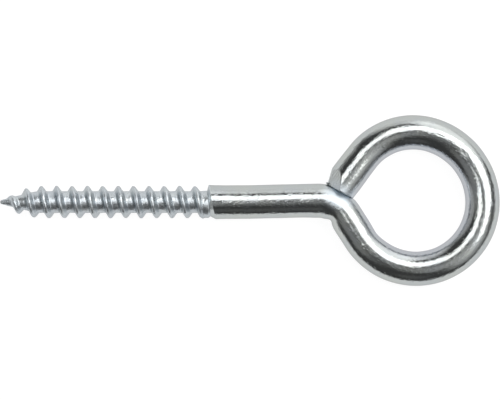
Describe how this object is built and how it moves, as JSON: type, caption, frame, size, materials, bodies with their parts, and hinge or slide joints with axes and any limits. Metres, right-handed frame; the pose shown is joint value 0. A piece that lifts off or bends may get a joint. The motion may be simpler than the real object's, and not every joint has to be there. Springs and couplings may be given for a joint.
{
  "type": "screw eye",
  "caption": "Wood-screw eye bolt bent from one plated steel rod: gimlet point, coarse thread, plain shank, neck and closed round eye.",
  "frame": {"origin": "centre of the eye, in the mid-plane of the rod", "axes": "+X along the shank's axis from the point towards the eye, +Z square to the plane of the eye, +Y towards the side where the rod's cut end closes the eye; the part lies flat on its side"},
  "size_m": [0.1186, 0.0404, 0.008],
  "materials": {
    "bright_zinc": "bright blue-white zinc plate on smooth drawn steel",
    "rolled_zinc": "bright blue-white zinc plate on a rolled thread, duller than the rod"
  },
  "bodies": {
    "root": {"screw_point": "rolled_zinc", "wood_thread": "rolled_zinc", "plain_shank": "bright_zinc", "neck_bend": "bright_zinc", "neck_leg": "bright_zinc", "eye_lower": "bright_zinc", "eye_upper": "bright_zinc", "eye_closing": "bright_zinc", "eye_end": "bright_zinc"}
  },
  "joints": []
}
